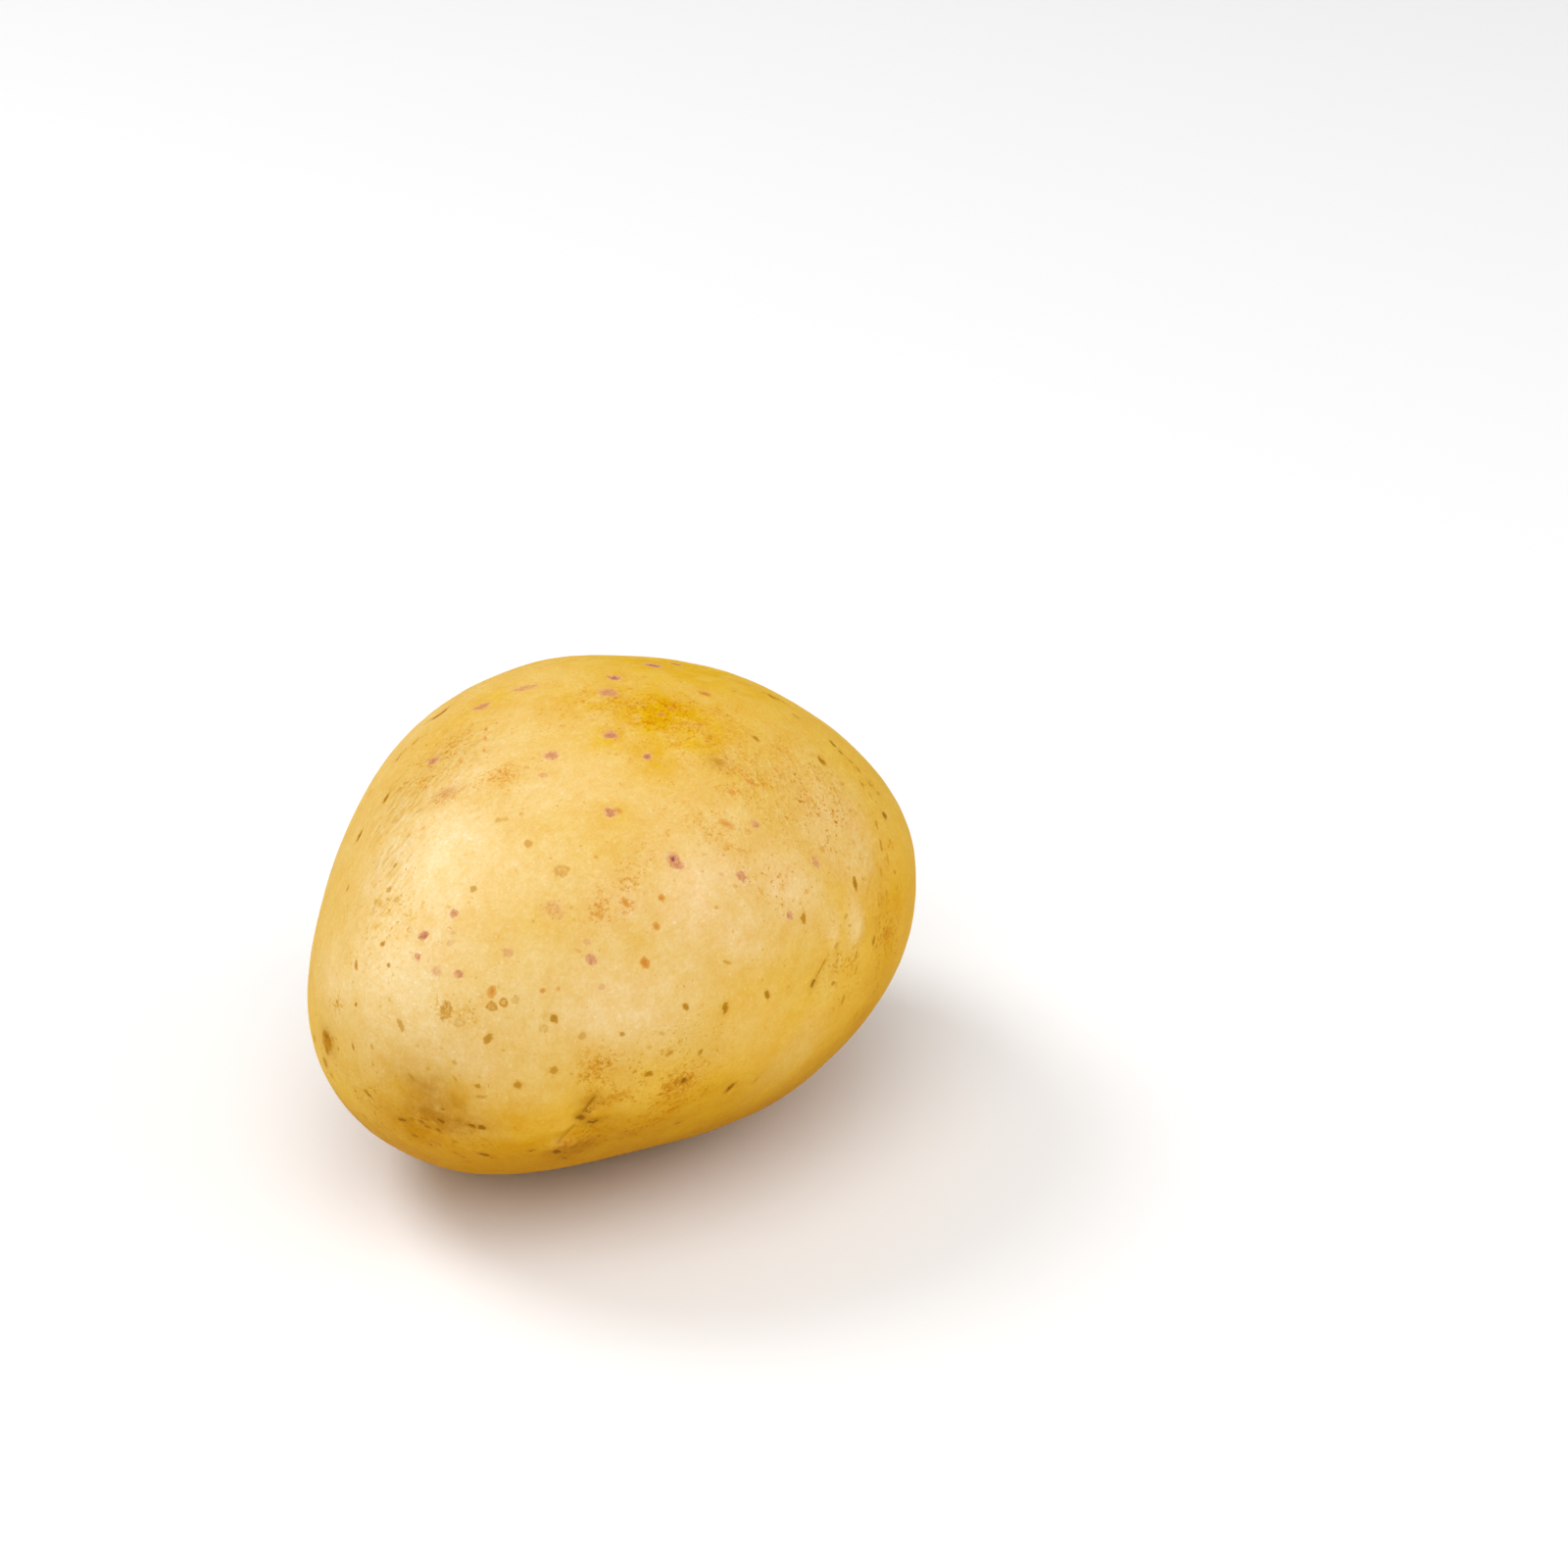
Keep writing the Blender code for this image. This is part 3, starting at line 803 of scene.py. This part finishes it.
# Painted shade of the underside
OCHRE_SHADE = (0.49, 0.21, 0.0)
SMUDGE = (0.44, 0.175, 0.001)
PLUM = (0.55, 0.21, 0.083)
DARK_PLUM = (0.28, 0.09, 0.085)
MAUVE = (0.75, 0.395, 0.195)
ORANGE = (0.68, 0.30, 0.045)
RUST = (0.56, 0.21, 0.03)
BROWN = (0.53, 0.245, 0.010)
TAN = (0.56, 0.25, 0.035)
DARK_BROWN = (0.30, 0.115, 0.004)
UMBER = (0.26, 0.09, 0.003)

# Tints that the colour under them is multiplied by. The second paints glints and highlights, and
# the paler crust round purple pores.
TAWNY = (0.88, 0.77, 0.50)
GLINT_AND_CRUST = (1.04, 1.10, 1.45)
# Fine tints: the size of the grain in mm, and how far it turns the colour
FINE_TINTS = ((0.40, 0.040), (0.9, 0.030), (2.0, 0.030), (5.0, 0.035))
# Russet grains: the size in mm, the tint, and how much rarer they are than the first kind
RUSSET_GRAINS = (
    (1.2, (0.95, 0.86, 0.62), 0.0),
    (0.60, (0.88, 0.76, 0.46), 0.01),
    (0.45, (0.80, 0.67, 0.38), 0.04),
)
RUST_GRAINS = (
    (1.2, (0.97, 0.90, 0.76), 0.0),
    (0.60, (0.93, 0.77, 0.55), 0.01),
    (0.45, (0.88, 0.74, 0.60), 0.03),
)


class Graph:
    """Adds nodes to a material. Each input is a value or another node's output."""

    def __init__(self, material):
        material.use_nodes = True
        self.tree = material.node_tree
        self.shader = self.tree.nodes["Principled BSDF"]
        self.place = self.add("ShaderNodeTexCoord", {}).outputs["Object"]
        self.noises = {}

    def feed(self, socket, value):
        if isinstance(value, bpy.types.NodeSocket):
            self.tree.links.new(value, socket)
        elif isinstance(value, tuple) and len(value) == 3 and socket.type == "RGBA":
            socket.default_value = (*value, 1.0)
        else:
            socket.default_value = value

    def add(self, kind, inputs, **settings):
        node = self.tree.nodes.new(kind)
        for name, value in settings.items():
            setattr(node, name, value)
        for name, value in inputs.items():
            self.feed(node.inputs[name], value)
        return node

    def math(self, operation, first, second=0.0, third=0.0):
        node = self.add("ShaderNodeMath", {0: first, 1: second, 2: third}, operation=operation)
        return node.outputs[0]

    def times(self, first, second, plus=None):
        if plus is None:
            return self.math("MULTIPLY", first, second)
        return self.math("MULTIPLY_ADD", first, second, plus)

    def clamp(self, value):
        return self.add("ShaderNodeClamp", {"Value": value}).outputs[0]

    def step(self, value, start, end):
        """0 at or before start, 1 at or after end, smooth between. Start may be the larger."""
        inputs = {"Value": value, "From Min": start, "From Max": end}
        node = self.add("ShaderNodeMapRange", inputs, interpolation_type="SMOOTHSTEP")
        return node.outputs["Result"]

    def mix(self, share, first, second, blend="MIX"):
        node = self.add("ShaderNodeMix", {}, data_type="RGBA", blend_type=blend)
        self.feed(node.inputs[0], share)
        self.feed(node.inputs[6], first)
        self.feed(node.inputs[7], second)
        return node.outputs[2]

    def tint(self, share, colour, tint):
        return self.mix(share, colour, tint, "MULTIPLY")

    def ramp(self, value, colours):
        """The colour for a value, from colours given at some values between -1 and 1."""
        share = self.times(value, 0.5, plus=0.5)
        node = self.add("ShaderNodeValToRGB", {0: share})
        stops = node.color_ramp.elements
        while len(stops) < len(colours):
            stops.new(0.5)
        for stop, (place, colour) in zip(stops, colours.items()):
            stop.position = (place + 1) / 2
            stop.color = (*colour, 1.0)
        return node.outputs["Color"]

    def noise(self, size, detail=2.0, roughness=0.5, shift=0.0, stretch=(1.0, 1.0, 1.0), turn=0.0):
        """Cloudy noise with swellings of that size in mm. They may be longer along some axes,
        and turned about Y by some degrees. The same noise is made only once."""
        key = (size, detail, roughness, shift, stretch, turn)
        if key not in self.noises:
            self.noises[key] = self.new_noise(*key)
        return self.noises[key]

    def new_noise(self, size, detail, roughness, shift, stretch, turn):
        moved = self.add("ShaderNodeMapping", {
            "Vector": self.place,
            "Location": (10 * MM * shift,) * 3,
            "Rotation": (0.0, math.radians(turn), 0.0),
            "Scale": tuple(size * MM * share for share in stretch),
        }, vector_type="TEXTURE")
        inputs = {
            "Vector": moved.outputs[0], "Scale": 1.0, "Detail": detail, "Roughness": roughness
        }
        return self.add("ShaderNodeTexNoise", inputs).outputs["Fac"]

    def scattered(self, size, shift=0.0):
        """Distance to the nearest of many scattered points, that size in mm apart, as a share
        of the size, and a chance between 0 and 1 that is each point's own."""
        moved = self.add("ShaderNodeVectorMath", {0: self.place, 1: (shift,) * 3})
        inputs = {"Vector": moved.outputs[0], "Scale": 1 / (size * MM)}
        node = self.add("ShaderNodeTexVoronoi", inputs)
        chance = self.add("ShaderNodeSeparateColor", {0: node.outputs["Color"]}).outputs[0]
        return node.outputs["Distance"], chance

    def field(self, name):
        return self.add("ShaderNodeAttribute", {}, attribute_name=name).outputs["Fac"]


def ground_and_shade_colour(graph):
    """The clouded yellow of the skin, with light and shade painted by its facing, before any mark.
    """
    normal = graph.add("ShaderNodeTexCoord", {}).outputs["Normal"]
    turned = graph.add(
        "ShaderNodeVectorMath", {0: normal, 1: LIT_SIDE}, operation="DOT_PRODUCT"
    ).outputs["Value"]
    clouds = graph.times(graph.noise(13.0, 4.0, 0.6), 0.6, plus=-0.30)
    colour = graph.ramp(graph.math("ADD", turned, clouds), GROUND_AND_SHADE)
    # Pale patches, most of them painted highlight
    colour = graph.mix(graph.field("pale"), colour, PALE)
    blush = graph.step(graph.noise(5.0, 3.0, shift=3.0), 0.15, 0.65)
    colour = graph.mix(graph.times(graph.field("pink"), blush), colour, PINK)
    # Painted shade, in amber where its patches are
    ragged = graph.times(graph.noise(3.0, 4.0, 0.6, shift=5.0), 1.6, plus=0.1)
    colour = graph.mix(graph.times(graph.field("painted_shade"), ragged), colour, AMBER)
    # Painted shade: skin facing down turns ochre, a little less so at the very bottom
    height = graph.add("ShaderNodeSeparateXYZ", {0: normal}).outputs["Z"]
    beneath = graph.times(graph.step(height, -0.75, -1.0), -0.45, plus=0.95)
    low = graph.times(graph.step(height, -0.15, -0.75), beneath)
    colour = graph.mix(low, colour, OCHRE_SHADE)
    streaks = graph.step(graph.noise(3.2, 3.0, 0.56, shift=6.0), 0.34, 0.62)
    uneven = graph.times(streaks, 0.55, plus=0.56)
    gold = graph.times(graph.field("gold"), uneven)
    return graph.mix(graph.clamp(gold), colour, GOLD)


def mottled(graph, colour):
    """Fine unevenness of the tint, painted glints and the smallest brown pores."""
    for size, depth in FINE_TINTS:
        grain = graph.step(graph.noise(size, 2.0, 0.55, shift=9.0 + size), 0.32, 0.68)
        yellower = (1.0 - 0.3 * depth, 1.0 - depth, 1.0 - 3 * depth)
        paler = (1.0 + 0.3 * depth, 1.0 + depth, 1.0 + 3 * depth)
        colour = graph.tint(1.0, colour, graph.mix(grain, yellower, paler))
    distance, chance = graph.scattered(0.85, 13.0)
    fleck = graph.times(graph.step(distance, 0.30, 0.10), graph.step(chance, 0.3, 0.9))
    colour = graph.tint(fleck, colour, GLINT_AND_CRUST)
    distance, chance = graph.scattered(2.1, 14.0)
    dot = graph.times(graph.step(distance, 0.15, 0.06), graph.step(chance, 0.35, 0.9))
    return graph.tint(graph.times(dot, 0.8), colour, TAWNY)


def wrinkles(graph):
    """The height of the fine wrinkles, from 0 to 1, which run lengthwise over the stem end."""
    return graph.noise(0.62, 3.0, 0.6, shift=43.0, stretch=(3.6, 1.0, 1.0), turn=-48.0)


def wrinkled(graph, colour):
    """A brown tint in the grooves of the fine wrinkles, partly dirt and partly painted shade, and a
    painted highlight on their crests.
    """
    groove = graph.times(graph.step(wrinkles(graph), 0.48, 0.38), graph.field("wrinkle"))
    crest = graph.times(graph.step(wrinkles(graph), 0.53, 0.62), graph.field("wrinkle"))
    colour = graph.tint(graph.times(groove, 0.8), colour, TAWNY)
    return graph.tint(graph.times(crest, 0.8), colour, GLINT_AND_CRUST)


def netted(graph, colour, kind, cloud, grains):
    """Nets and specks where a kind's field is strong, which are rare elsewhere, over a tint."""
    share = graph.times(graph.field(kind), 0.3)
    colour = graph.tint(share, colour, cloud)
    clump = graph.times(graph.noise(2.6, 2.0, shift=17.0), 0.24)
    edge = graph.times(graph.field(kind), -0.19, plus=0.81)
    edge = graph.math("SUBTRACT", edge, clump)
    for size, tint, dearth in grains:
        grain = graph.noise(size, 3.0, 0.6, shift=15.0 + size)
        start = graph.math("ADD", edge, dearth)
        speck = graph.step(grain, start, graph.math("ADD", start, 0.07))
        colour = graph.tint(speck, colour, tint)
    return colour


def russeted(graph, colour):
    colour = netted(graph, colour, "russet", (0.97, 0.90, 0.74), RUSSET_GRAINS)
    return netted(graph, colour, "rust", (0.98, 0.92, 0.84), RUST_GRAINS)


# Dark smudges, and painted shade on the sunk side of the front eye's fold
def smudged(graph, colour):
    ragged = graph.times(graph.noise(2.2, 5.0, 0.7, shift=21.0), 2.4, plus=-0.35)
    share = graph.times(graph.field("smudge_and_shade"), ragged)
    return graph.mix(graph.math("MINIMUM", graph.clamp(share), 0.85), colour, SMUDGE)


def ragged_mark(graph, kind, number, amount):
    """In a layer of marks, the distance from a mark's middle in half-widths, its even outline
    broken up by an amount, and how strongly the mark shows."""
    name = f"{kind}_{number}"
    layer = graph.add("ShaderNodeAttribute", {}, attribute_name=name).outputs["Vector"]
    along, across, strength = graph.add("ShaderNodeSeparateXYZ", {0: layer}).outputs
    squares = graph.times(along, along, plus=graph.times(across, across))
    ragged = graph.noise(0.6, 3.0, 0.6, shift=25.0)
    away = graph.times(ragged, 2 * amount, plus=-amount)
    return graph.math("ADD", graph.math("SQRT", squares), away), strength


def cover(graph, reach, inner, outer, strength):
    """How far a mark hides the skin: all of it inside, none outside."""
    return graph.clamp(graph.times(graph.step(reach, outer, inner), strength))


def purple_pore(graph, colour, reach, strength):
    """A mauve skirt round a plum middle with dark grains, in a broken pale crust."""
    stain = graph.times(graph.step(reach, 2.6, 1.0), strength)
    colour = graph.tint(graph.times(stain, 0.30), colour, TAWNY)
    off = graph.math("ABSOLUTE", graph.math("SUBTRACT", reach, 1.45))
    broken = graph.step(graph.noise(0.8, shift=35.0), 0.42, 0.62)
    crust = graph.times(graph.step(off, 0.40, 0.1), broken)
    crust = graph.times(crust, graph.math("MINIMUM", strength, 0.9))
    colour = graph.tint(crust, colour, GLINT_AND_CRUST)
    skirt = cover(graph, reach, 1.0, 1.3, graph.times(strength, 0.8))
    colour = graph.mix(skirt, colour, MAUVE)
    grain = graph.step(graph.noise(0.42, shift=31.0), 0.38, 0.62)
    grain = graph.times(grain, 0.6, plus=0.4)
    body = cover(graph, reach, 0.75, 1.1, strength)
    colour = graph.mix(graph.times(body, grain), colour, PLUM)
    core = cover(graph, reach, 0.2, 0.8, graph.times(strength, 1.4, plus=-0.95))
    return graph.mix(core, colour, DARK_PLUM)


def orange_pore(graph, colour, reach, strength):
    """An orange patch with a rust-brown grain in it."""
    colour = graph.mix(cover(graph, reach, 0.8, 1.3, strength), colour, ORANGE)
    core = cover(graph, reach, 0.3, 0.7, graph.times(strength, 0.7))
    return graph.mix(core, colour, RUST)


def brown_spot(graph, colour, reach, strength):
    """A crisp brown spot, darker in its middle, with a tawny tint round it."""
    soft = graph.times(graph.step(reach, 1.8, 0.9), strength)
    colour = graph.tint(graph.times(soft, 0.25), colour, TAWNY)
    share = cover(graph, reach, 0.7, 1.05, strength)
    colour = graph.mix(share, colour, BROWN)
    core = cover(graph, reach, 0.3, 0.85, graph.times(strength, 1.5, plus=-1.0))
    return graph.mix(core, colour, DARK_BROWN)


def ring_pore(graph, colour, reach, strength):
    """A broken brown ring round a tinted, netted middle."""
    gaps = graph.step(graph.noise(0.5, shift=33.0), 0.36, 0.60)
    off = graph.math("ABSOLUTE", graph.math("SUBTRACT", reach, 0.85))
    ring = graph.times(graph.step(off, 0.38, 0.1), strength)
    ring = graph.times(ring, graph.times(gaps, 0.50, plus=0.10))
    colour = graph.mix(ring, colour, TAN)
    inside = graph.times(graph.step(reach, 1.1, 0.7), strength)
    colour = graph.tint(graph.times(inside, 0.9), colour, TAWNY)
    net = graph.times(graph.step(graph.noise(0.42, shift=37.0), 0.42, 0.58), inside)
    return graph.mix(graph.times(net, 0.6), colour, TAN)


def crack(graph, colour, reach, darkness):
    """A dark line in a brown one, with a soft stain beside it."""
    soft = graph.times(graph.step(reach, 3.4, 1.0), 0.28)
    colour = graph.mix(graph.times(soft, darkness), colour, SMUDGE)
    colour = graph.mix(cover(graph, reach, 0.7, 1.3, darkness), colour, BROWN)
    return graph.mix(cover(graph, reach, 0.2, 0.9, darkness), colour, UMBER)


def skin_bump(graph):
    """Fine wrinkles two ways, grain, and pits too small to model."""
    bump = None
    share = graph.times(graph.field("wrinkle"), 0.86, plus=0.14)
    layers = (
        (graph.noise(0.42, 3.0, 0.6, shift=41.0), 0.065),
        (graph.times(wrinkles(graph), share), 0.56),
        (graph.noise(1.1, 3.0, 0.6, shift=44.0), 0.130),
        (graph.step(graph.scattered(1.4, 45.0)[0], 0.05, 0.30), 0.014),
    )
    for height, millimetres in layers:
        inputs = {"Height": height, "Distance": millimetres * MM}
        if bump:
            inputs["Normal"] = bump
        bump = graph.add("ShaderNodeBump", inputs).outputs[0]
    return bump


# The shader's values that are the same all over the skin. Light reaches some way under it,
# red the farthest.
SKIN_SETTINGS = {
    "Specular IOR Level": 0.02,
    "Subsurface Weight": 0.16,
    "Subsurface Radius": (1.0, 0.55, 0.18),
    "Subsurface Scale": 1.6 * MM,
}
LEAST_ROUGHNESS = 0.44
ROUGHNESS_SPREAD = 0.22

# How each kind of mark is painted, and how far its outline is broken up, in half-widths
MARK_PAINTS = {
    "ring": (ring_pore, 0.6),
    "orange": (orange_pore, 0.7),
    "brown": (brown_spot, 0.8),
    "purple": (purple_pore, 0.9),
    "crack": (crack, 0.6),
}


def skin_material():
    material = bpy.data.materials.new("potato_skin")
    graph = Graph(material)
    colour = ground_and_shade_colour(graph)
    for layer in (mottled, smudged, wrinkled, russeted):
        colour = layer(graph, colour)
    for kind, (paint, amount) in MARK_PAINTS.items():
        for number in range(MARK_LAYERS[kind]):
            colour = paint(graph, colour, *ragged_mark(graph, kind, number, amount))
    graph.feed(graph.shader.inputs["Base Color"], colour)
    waxy = graph.noise(2.5, 3.0, 0.6, shift=51.0)
    roughness = graph.times(waxy, ROUGHNESS_SPREAD, plus=LEAST_ROUGHNESS)
    graph.feed(graph.shader.inputs["Roughness"], roughness)
    graph.feed(graph.shader.inputs["Normal"], skin_bump(graph))
    for name, value in SKIN_SETTINGS.items():
        graph.feed(graph.shader.inputs[name], value)
    return material


# The studio: a white surround over a wide pale floor, and three soft round lights. Each is in
# a direction in degrees, at a distance, with a width in metres and a power in watts.
SURROUND_STRENGTH = 0.45
FLOOR_WHITE = 0.93
FLOOR_RADIUS = 4.0
FLOOR_SIDES = 64
LIGHTS = {
    "overhead": (-159.0, 51.0, 1.0, 0.45, 3.6),
    "front": (-52.0, 60.0, 1.2, 1.2, 7.8),
    "side": (30.0, 32.0, 1.2, 1.0, 3.0),
}


def make_surround():
    world = bpy.data.worlds.new("surround")
    bpy.context.scene.world = world
    world.use_nodes = True
    background = world.node_tree.nodes["Background"]
    background.inputs["Color"].default_value = (1.0, 1.0, 1.0, 1.0)
    background.inputs["Strength"].default_value = SURROUND_STRENGTH


def aim(thing, place, way):
    """Puts a light or the camera at a place, facing a way."""
    thing.location = place
    thing.rotation_mode = "QUATERNION"
    thing.rotation_quaternion = way.to_track_quat("-Z", "Y")


def make_lights():
    for name, (azimuth, elevation, distance, size, power) in LIGHTS.items():
        way = way_out(azimuth, elevation)
        lamp = bpy.data.lights.new(name, "AREA")
        lamp.shape = "DISK"
        lamp.size = size
        lamp.energy = power
        aim(add_object(name, lamp), MIDDLE + way * distance, -way)


def make_floor():
    shape = bmesh.new()
    bmesh.ops.create_circle(shape, cap_ends=True, segments=FLOOR_SIDES, radius=FLOOR_RADIUS)
    mesh = bpy.data.meshes.new("floor")
    shape.to_mesh(mesh)
    shape.free()
    material = bpy.data.materials.new("floor")
    material.use_nodes = True
    shader = material.node_tree.nodes["Principled BSDF"]
    shader.inputs["Base Color"].default_value = (FLOOR_WHITE,) * 3 + (1.0,)
    shader.inputs["Roughness"].default_value = 0.9
    shader.inputs["Specular IOR Level"].default_value = 0.1
    mesh.materials.append(material)
    floor = add_object("floor", mesh)


def make_camera():
    view = Camera()
    lens = bpy.data.cameras.new("camera")
    lens.lens = LENS
    lens.sensor_width = SENSOR
    lens.clip_start = NEAREST_SEEN
    camera = add_object("camera", lens)
    aim(camera, view.eye, -view.back)
    bpy.context.scene.camera = camera


make_skin()
make_surround()
make_lights()
make_floor()
make_camera()
bpy.context.scene.view_settings.view_transform = "Standard"
